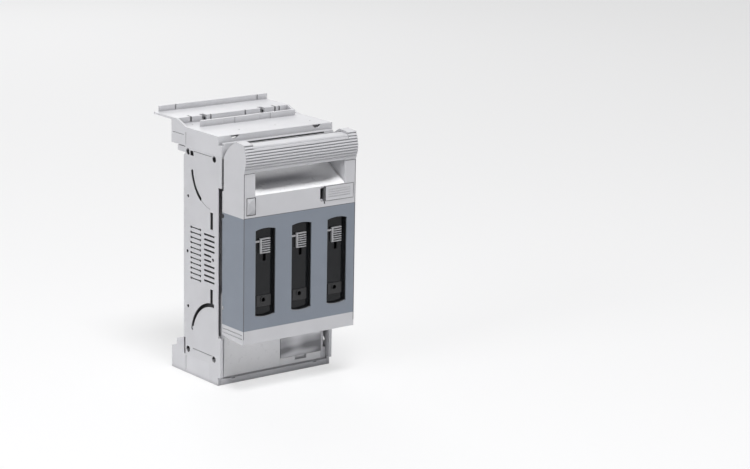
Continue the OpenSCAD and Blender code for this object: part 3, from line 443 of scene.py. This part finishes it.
FINISHES = {
    "body_plastic": moulded_plastic("body_plastic", (0.58, 0.58, 0.60), seam_shade=0.28, gap=True),
    "hood_plastic": moulded_plastic("hood_plastic", (0.61, 0.61, 0.63)),
    "cover_plastic": moulded_plastic("cover_plastic", (0.575, 0.575, 0.595), rough=0.4),
    # Recess skin: its pale colour is painted light, its corner band painted shade
    "recess_plastic": recess_painted_light_and_shade("recess_plastic", (0.96, 0.96, 0.97), 0.42),
    "band_plastic": moulded_plastic("band_plastic", (0.215, 0.242, 0.285), rough=0.42,
                                    edge_r=0.0002, wear_and_highlight=0.08),
    "slider_plastic": moulded_plastic("slider_plastic", (0.38, 0.38, 0.39), rough=0.38,
                                      edge_r=0.0002),
    "dark_plastic": moulded_plastic("dark_plastic", (0.012, 0.012, 0.013), rough=0.35,
                                    edge_r=0.0002, wear_and_highlight=0.03),
    "plate_film": moulded_plastic("plate_film", (0.76, 0.76, 0.77), rough=0.3,
                                  edge_r=0.0001, seam_shade=0.7, wear_and_highlight=0.1),
    "silver_foil": foil_with_painted_reflection("silver_foil", (0.17, 0.17, 0.18), (0.56, 0.56, 0.58)),
    # Colour of the painted shade line round the lock pocket
    "pocket_line": moulded_plastic("pocket_line", (0.10, 0.10, 0.105), rough=0.5, edge_r=0.0001),
    # Dark lines: painted shade at the cover's corners, and the band's joint
    "corner_line": moulded_plastic("corner_line", (0.07, 0.073, 0.08), rough=0.5,
                                   edge_r=0.0001, wear_and_highlight=0),
    "lens_plastic": moulded_plastic("lens_plastic", (0.50, 0.50, 0.52), rough=0.2,
                                    edge_r=0.0001, wear_and_highlight=0.5),
    "clear_window": tinted_window("clear_window", (0.55, 0.57, 0.6), 0.5),
    "smoked_window": tinted_window("smoked_window", (0.012, 0.013, 0.015), 0.35),
    "plated_copper": plated_metal("plated_copper", (0.72, 0.69, 0.62)),
    "steel": plated_metal("steel", (0.55, 0.56, 0.58), streak=(1, 1, 1)),
}
# Nodes whose finish isn't that of their record slot
NODE_FINISH = {"plate_window": "silver_foil"}


def dress_nodes():
    """Every node of the part takes the finish of its record slot, or one of its own."""
    for part in frame["record"]["subparts"]:
        node = frame["nodes"][part["node"]]
        node.data.materials.clear()
        node.data.materials.append(FINISHES[NODE_FINISH.get(part["node"], part["material_slot"])])


# Fine pieces: shared helpers, sizes in millimetres
FRONT = -32.2
POLE_PITCH = 33.4


def carry(name, mesh, body):
    """The mesh as a piece of that name, on the body that carries it."""
    piece = bpy.data.objects.new(name, mesh)
    bpy.context.scene.collection.objects.link(piece)
    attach(piece, body)
    return piece


def make_piece(name, form, finish, body, smooth=False):
    """A closed piece from its points and faces, with its finish."""
    points, faces = form
    mesh = bpy.data.meshes.new(name)
    mesh.from_pydata([Vector(p) * MM for p in points], [], faces)
    shell = bmesh.new()
    shell.from_mesh(mesh)
    bmesh.ops.remove_doubles(shell, verts=shell.verts, dist=1e-7)
    bmesh.ops.recalc_face_normals(shell, faces=shell.faces)
    shell.to_mesh(mesh)
    shell.free()
    for face in mesh.polygons:
        face.use_smooth = smooth
    mesh.materials.append(FINISHES[finish])
    return carry(name, mesh, body)


def sheet_between(upper, lower):
    """Points and faces of a closed sheet between two equal grids of points."""
    rows = len(upper)
    across = len(upper[0])
    points = [p for row in upper for p in row] + [p for row in lower for p in row]
    half = rows * across
    faces = []
    for r in range(rows - 1):
        for c in range(across - 1):
            a = r * across + c
            quad = (a, a + 1, a + across + 1, a + across)
            faces.append(quad)
            faces.append(tuple(half + k for k in reversed(quad)))
    rim = list(range(across))
    rim += [r * across + across - 1 for r in range(1, rows)]
    rim += [(rows - 1) * across + c for c in range(across - 2, -1, -1)]
    rim += [r * across for r in range(rows - 2, 0, -1)]
    for k, a in enumerate(rim):
        b = rim[(k + 1) % len(rim)]
        faces.append((b, a, half + a, half + b))
    return points, faces


def tube_between(outer, inner, y0, y1):
    """Points and faces of a closed ring from y0 to y1 between two outlines in x and z."""
    count = len(outer)
    loops = [(outer, y0), (inner, y0), (inner, y1), (outer, y1)]
    points = [(x, y, z) for loop, y in loops for x, z in loop]
    faces = []
    for k in range(4):
        a = k * count
        b = ((k + 1) % 4) * count
        for c in range(count):
            d = (c + 1) % count
            faces.append((a + c, a + d, b + d, b + c))
    return points, faces


def slab_between(outline, y0, y1):
    """Points and faces of a closed slab from y0 to y1 with that outline in x and z."""
    count = len(outline)
    points = [(x, y, z) for y in (y0, y1) for x, z in outline]
    faces = [tuple(range(count)), tuple(range(2 * count - 1, count - 1, -1))]
    faces += [(k, (k + 1) % count, count + (k + 1) % count, count + k) for k in range(count)]
    return points, faces


def joined(forms):
    """Points and faces of several forms as one."""
    points = []
    faces = []
    for form_points, form_faces in forms:
        base = len(points)
        points += form_points
        faces += [tuple(base + k for k in face) for face in form_faces]
    return points, faces


def frame_outline(x0, z0, x1, z1, cut=0.0):
    """A rectangle's outline with its corners cut."""
    return [(x0 + cut, z0), (x1 - cut, z0), (x1, z0 + cut), (x1, z1 - cut),
            (x1 - cut, z1), (x0 + cut, z1), (x0, z1 - cut), (x0, z0 + cut)]


# Finger recess: a smooth skin over the moulded recess, flat floor to round corner to wall
RECESS_HALF = 41.7
RECESS_LOW = 153.8
RECESS_TOP = 178.0
RECESS_REAR = -9.2
RECESS_R = 9.0
RECESS_FLOOR = math.radians(14)
RECESS_END = math.radians(31)
END_BLEND = 18.0
SKIN_INSET = 0.03
SKIN_LOW = 0.04
SKIN_HIGH = 0.1
SKIN_COLUMNS = 96


def recess_section(lift, side):
    """Points from the front edge to under the grip; side is 0 in the middle and 1 at the ends."""
    centre_y = RECESS_REAR - RECESS_R
    run = centre_y + RECESS_R * math.sin(RECESS_FLOOR) - FRONT
    centre_z = RECESS_LOW + run * math.tan(RECESS_FLOOR) + RECESS_R * math.cos(RECESS_FLOOR)
    deep = []
    for k in range(8):
        along = run * k / 8
        deep.append((FRONT + along, RECESS_LOW + along * math.tan(RECESS_FLOOR)))
    for k in range(13):
        angle = -math.pi / 2 + RECESS_FLOOR + (math.pi / 2 - RECESS_FLOOR) * k / 12
        deep.append((centre_y + RECESS_R * math.cos(angle), centre_z + RECESS_R * math.sin(angle)))
    points = []
    for k, (y, z) in enumerate(deep):
        flat_y = FRONT + (RECESS_REAR - FRONT) * k / 20
        flat_z = RECESS_LOW + (flat_y - FRONT) * math.tan(RECESS_END)
        points.append((y + (flat_y - y) * side, z + (flat_z - z) * side))
    last_z = points[-1][1]
    points += [(RECESS_REAR, last_z + (RECESS_TOP - last_z) * k / 4) for k in range(1, 5)]
    # Lift off the moulded surface, square to the section
    lifted = []
    for k, (y, z) in enumerate(points):
        before = points[max(0, k - 1)]
        after = points[min(len(points) - 1, k + 1)]
        along = Vector((after[0] - before[0], after[1] - before[1])).normalized()
        lifted.append((y - along.y * lift, z + along.x * lift))
    return lifted


def line_recess():
    """The skin, from one end of the recess to the other."""
    upper = []
    lower = []
    reach = RECESS_HALF - SKIN_INSET
    for c in range(SKIN_COLUMNS + 1):
        x = -reach + 2 * reach * c / SKIN_COLUMNS
        share = min(1.0, (RECESS_HALF - abs(x)) / END_BLEND)
        side = 1 - share * share * (3 - 2 * share)
        upper.append([(x, y, z) for y, z in recess_section(SKIN_HIGH, side)])
        lower.append([(x, y, z) for y, z in recess_section(SKIN_LOW, side)])
    skin = sheet_between(upper, lower)
    make_piece("finger_recess_skin", skin, "recess_plastic", "cover", smooth=True)


# Windows: a dark collar of painted shade lines the cover's wall inside each window
WINDOW_HALF_W = 9.2
WINDOW_HALF_H = 34.3
WINDOW_ARCH = 1.4
WINDOW_MID_Z = 94.0
WINDOW_SHIFT = 1.5
COLLAR_OUTER = 0.02
COLLAR_INNER = 0.22


def window_outline(mid_x, inset):
    """The window's outline: straight sides and shallow arches."""
    half_w = WINDOW_HALF_W - inset
    rise = WINDOW_ARCH
    half_h = WINDOW_HALF_H - rise - inset
    radius = (half_w * half_w + rise * rise) / (2 * rise)
    reach = math.asin(half_w / radius)
    points = []
    for end in (1, -1):
        for k in range(13):
            angle = end * (reach - 2 * reach * k / 12)
            points.append((mid_x + radius * math.sin(angle),
                           WINDOW_MID_Z + end * (half_h + rise - radius + radius * math.cos(angle))))
    return points


def shade_windows():
    """One painted shade collar for each pole."""
    for pole in (1, 2, 3):
        mid_x = (pole - 2) * POLE_PITCH + WINDOW_SHIFT
        outer = window_outline(mid_x, COLLAR_OUTER)
        inner = window_outline(mid_x, COLLAR_INNER)
        collar = tube_between(outer, inner, FRONT + 0.85, FRONT + 2.0)
        make_piece(f"window_shade_collar_{pole}", collar, "dark_plastic", "cover")


# Marker lens: a dark frame of painted shade round it and a prism ridge from corner to corner
def fit_lens():
    """The painted shade frame and the prism, which stands in for the plain lens."""
    outer = frame_outline(-49.46, 139.24, -41.14, 152.86, 0.3)
    inner = frame_outline(-49.04, 139.66, -41.56, 152.44, 0.2)
    shade_frame = tube_between(outer, inner, FRONT + 0.12, FRONT + 1.55)
    make_piece("lens_shade_frame", shade_frame, "dark_plastic", "cover")
    x0, z0, x1, z1 = -49.0, 139.7, -41.6, 152.4
    low = FRONT + 0.3
    high = FRONT - 1.5
    back = FRONT + 1.5
    points = [(x0, low, z0), (x1, low, z0), (x1, low, z1), (x0, low, z1),
              (x0 + 0.9, high, z1 - 3.4), (x1 - 0.9, high, z0 + 4.6),
              (x0, back, z0), (x1, back, z0), (x1, back, z1), (x0, back, z1)]
    faces = [(0, 1, 5), (0, 5, 4), (0, 4, 3), (2, 3, 4), (2, 4, 5), (1, 2, 5),
             (0, 1, 7, 6), (1, 2, 8, 7), (2, 3, 9, 8), (3, 0, 6, 9), (6, 7, 8, 9)]
    lens = make_piece("lens_prism", (points, faces), "lens_plastic", "cover")
    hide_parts("marker_lens")


# Cover: dark lines on its front, a little proud of it: painted shade round the lock pocket, at the
# front corners and under the grip's ends, and the band's joint
LINE_FRONT = FRONT - 0.02
LINE_BACK = FRONT + 0.3
CORNER_X = 51.88
CORNER_W = 0.5
CORNER_LOW = 44.0
CORNER_HIGH = 171.4
CHEEK_X = 41.8


def shade_lock_pocket():
    """The painted shade line round the lock slider's pocket."""
    outer = frame_outline(23.45, 141.68, 49.85, 153.42)
    inner = frame_outline(23.85, 141.98, 49.45, 153.12)
    pocket = tube_between(outer, inner, LINE_FRONT, FRONT + 0.5)
    make_piece("lock_pocket_shade_line", pocket, "pocket_line", "cover")


def line_cover():
    """Painted shade lines at the front corners and under the grip's ends, and a dark joint line over
    the band.
    """
    for name, side in (("left", -1), ("right", 1)):
        edge = CORNER_X * side
        inner = edge - CORNER_W * side
        strips = [(edge, inner, CORNER_LOW, CORNER_HIGH),
                  (inner, CHEEK_X * side, CORNER_HIGH - 0.4, CORNER_HIGH)]
        line = joined([slab_between([(x0, z0), (x1, z0), (x1, z1), (x0, z1)], LINE_FRONT, LINE_BACK)
                       for x0, x1, z0, z1 in strips])
        make_piece(f"cover_corner_shade_line_{name}", line, "corner_line", "cover")
    joint = slab_between(frame_outline(-51.3, 137.2, 51.3, 137.55, 0.05), LINE_FRONT, LINE_BACK)
    make_piece("band_joint_line", joint, "corner_line", "cover")


# Rating plate: its film goes on under the foil, past the tab notch
def extend_plate():
    """The film's foot, with the notch."""
    outline = [(6.0, 5.8), (45.0, 5.8), (45.0, 11.5), (31.2, 11.5),
               (31.2, 8.3), (20.2, 8.3), (20.2, 11.5), (6.0, 11.5)]
    make_piece("plate_foot", slab_between(outline, 0.95, 1.58), "plate_film", "base")


# Upper hood: a dark strip of painted shade on its front face, in the gap over the grip
def shade_hood_gap():
    """The painted shade strip, a hair proud of the hood."""
    outline = frame_outline(-42.0, 187.3, 42.0, 189.1, 0.3)
    make_piece("hood_gap_shade", slab_between(outline, -4.26, -4.19), "dark_plastic", "base")


# Small forms that repeat, set on their places by Geometry Nodes
TO_BACK = (math.radians(-90), 0, 0)
TO_FRONT = (math.radians(90), 0, 0)


def start_tree(name, inputs):
    """A node tree with a mesh in and out and named sizes."""
    tree = bpy.data.node_groups.new(name, "GeometryNodeTree")
    tree.interface.new_socket("Places", in_out="INPUT", socket_type="NodeSocketGeometry")
    for label, value in inputs:
        size = tree.interface.new_socket(label, in_out="INPUT", socket_type="NodeSocketFloat")
        size.default_value = value
    tree.interface.new_socket("Mesh", in_out="OUTPUT", socket_type="NodeSocketGeometry")
    return tree, tree.nodes.new("NodeGroupInput").outputs, tree.nodes.new("NodeGroupOutput")


def end_tree(tree, places, end, form, turn, finish):
    """Sets the form on every place, turned, as real mesh with its finish."""
    copies = tree.nodes.new("GeometryNodeInstanceOnPoints")
    copies.inputs["Rotation"].default_value = turn
    tree.links.new(places, copies.inputs["Points"])
    tree.links.new(form, copies.inputs["Instance"])
    real = tree.nodes.new("GeometryNodeRealizeInstances")
    tree.links.new(copies.outputs[0], real.inputs[0])
    coat = tree.nodes.new("GeometryNodeSetMaterial")
    coat.inputs["Material"].default_value = FINISHES[finish]
    tree.links.new(real.outputs[0], coat.inputs["Geometry"])
    tree.links.new(coat.outputs[0], end.inputs[0])


def times(tree, size, factor):
    """A size times a fixed share."""
    return math_node(tree, "MULTIPLY", size, factor)


def disc_of(tree, sides, radius, height):
    """A flat cylinder with its sizes from sockets."""
    disc = tree.nodes.new("GeometryNodeMeshCylinder")
    disc.inputs["Vertices"].default_value = sides
    tree.links.new(radius, disc.inputs["Radius"])
    tree.links.new(height, disc.inputs["Depth"])
    return disc.outputs["Mesh"]


def block_of(tree, x, y, z):
    """A cuboid with its three sizes from sockets."""
    size = tree.nodes.new("ShaderNodeCombineXYZ")
    for axis, socket in zip("XYZ", (x, y, z)):
        tree.links.new(socket, size.inputs[axis])
    cube = tree.nodes.new("GeometryNodeMeshCube")
    tree.links.new(size.outputs[0], cube.inputs["Size"])
    return cube.outputs["Mesh"]


def shifted(tree, mesh, height, turn=0.0):
    """A mesh raised by a size and turned about its own axis."""
    move = tree.nodes.new("GeometryNodeTransform")
    move.inputs["Rotation"].default_value = (0, 0, turn)
    lift = tree.nodes.new("ShaderNodeCombineXYZ")
    tree.links.new(height, lift.inputs["Z"])
    tree.links.new(lift.outputs[0], move.inputs["Translation"])
    tree.links.new(mesh, move.inputs["Geometry"])
    return move.outputs["Geometry"]


def cut_from(tree, mesh, *cutters):
    """A mesh less the cutters."""
    cut = tree.nodes.new("GeometryNodeMeshBoolean")
    cut.operation = "DIFFERENCE"
    tree.links.new(mesh, cut.inputs["Mesh 1"])
    for cutter in cutters:
        tree.links.new(cutter, cut.inputs["Mesh 2"])
    return cut.outputs["Mesh"]


def screw_head_tree(finish, turn):
    """A pan head with a cross recess."""
    tree, start, end = start_tree("screw_heads", [("Radius", 0.003), ("Height", 0.0016)])
    radius = start["Radius"]
    height = start["Height"]
    head = tree.nodes.new("GeometryNodeMeshCone")
    head.inputs["Vertices"].default_value = 28
    head.inputs["Side Segments"].default_value = 1
    tree.links.new(times(tree, radius, 0.8), head.inputs["Radius Top"])
    tree.links.new(radius, head.inputs["Radius Bottom"])
    tree.links.new(height, head.inputs["Depth"])
    bar = block_of(tree, times(tree, radius, 1.15), times(tree, radius, 0.24), height)
    across = shifted(tree, bar, times(tree, height, 0.95), math.radians(35))
    along = shifted(tree, bar, times(tree, height, 0.95), math.radians(125))
    crossed = cut_from(tree, head.outputs["Mesh"], across, along)
    end_tree(tree, start["Places"], end, crossed, turn, finish)
    return tree


def mould_mark_tree(finish, turn):
    """A shallow round mark that an ejector pin leaves: a rim and a lower middle."""
    tree, start, end = start_tree("mould_marks", [("Radius", 0.0022), ("Height", 0.0003)])
    radius = start["Radius"]
    height = start["Height"]
    disc = disc_of(tree, 28, radius, height)
    middle = disc_of(tree, 28, times(tree, radius, 0.8), height)
    mark = cut_from(tree, disc, shifted(tree, middle, times(tree, height, 0.6)))
    end_tree(tree, start["Places"], end, mark, turn, finish)
    return tree


def disc_tree(finish):
    """Flat round discs, such as the painted shade in a blind hole."""
    tree, start, end = start_tree("hole_shade_discs", [("Radius", 0.00068), ("Height", 0.0003)])
    disc = disc_of(tree, 20, start["Radius"], start["Height"])
    end_tree(tree, start["Places"], end, disc, (0, 0, 0), finish)
    return tree


def spread(name, tree, places, radius, height, finish, body):
    """The tree's copies on the places, kept as one plain mesh on a body."""
    points = bpy.data.meshes.new(name + "_places")
    points.from_pydata([Vector(p) * MM for p in places], [], [])
    holder = bpy.data.objects.new(name + "_places", points)
    bpy.context.scene.collection.objects.link(holder)
    made = holder.modifiers.new("made", "NODES")
    made.node_group = tree
    sizes = {"Radius": radius, "Height": height}
    for item in tree.interface.items_tree:
        if item.in_out == "INPUT" and item.name in sizes:
            made[item.identifier] = sizes[item.name] * MM
    bpy.context.view_layer.update()
    seen = holder.evaluated_get(bpy.context.evaluated_depsgraph_get())
    mesh = bpy.data.meshes.new_from_object(seen)
    bpy.data.objects.remove(holder)
    carry(name, mesh, body)


# Front of the hood: the clamp screws' heads, and discs of painted shade in its small holes
def fit_front():
    """Cross recesses of the clamp screws, and discs of painted shade in the hood's small holes."""
    heads = [(x, 8.2, 170.35) for x in (-POLE_PITCH, 0, POLE_PITCH)]
    screw = screw_head_tree("steel", TO_FRONT)
    spread("clamp_screw_heads", screw, heads, 3.7, 1.8, "steel", "base")
    holes = [(-24.1, 14.8, 194.2), (9.3, 14.8, 194.2), (42.3, 14.8, 194.2), (-43.3, 49.9, 194.2)]
    # Dark discs of painted shade in the holes
    floor = disc_tree("dark_plastic")
    spread("hood_hole_shades", floor, holes, 0.69, 0.3, "dark_plastic", "base")


# Back: the screws that close the body, and the mould's marks
BACK = 47.2
HOOK_CLEAR = 4


def near_hook(place):
    """Whether a place on the back lies on or beside a busbar hook or strap."""
    for pole in (1, 2, 3):
        for node in (f"busbar_hook_{pole}", f"line_strap_{pole}"):
            low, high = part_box(node)
            beside = low[0] / MM - HOOK_CLEAR < place[0] < high[0] / MM + HOOK_CLEAR
            level = low[2] / MM - HOOK_CLEAR < place[2] < high[2] / MM + HOOK_CLEAR
            if beside and level:
                return True
    return False


def fit_back():
    """Screws that close the body, and the mould's marks on its back."""
    screws = [(x, BACK + 0.75, z) for x in (-44, 44) for z in (34, 96, 166)]
    screws += [(0, BACK + 0.75, z) for z in (46, 152)]
    screw = screw_head_tree("steel", TO_BACK)
    spread("back_screws", screw, screws, 3.0, 1.6, "steel", "base")
    marks = [(x, BACK + 0.1, z) for x in (-22, 22) for z in (40, 70, 122, 148)]
    marks += [(x, BACK + 0.1, z) for x in (-44, 44) for z in (52, 78, 114, 142)]
    marks = [m for m in marks if not near_hook(m)]
    mark = mould_mark_tree("body_plastic", TO_BACK)
    spread("back_marks", mark, marks, 2.4, 0.4, "body_plastic", "base")


add_camera()
light_room()
lay_floor()
for softbox in SOFTBOXES:
    add_softbox(*softbox)
dress_nodes()
line_recess()
shade_windows()
fit_lens()
shade_lock_pocket()
line_cover()
extend_plate()
shade_hood_gap()
fit_front()
fit_back()

bpy.context.scene.view_settings.view_transform = "Standard"
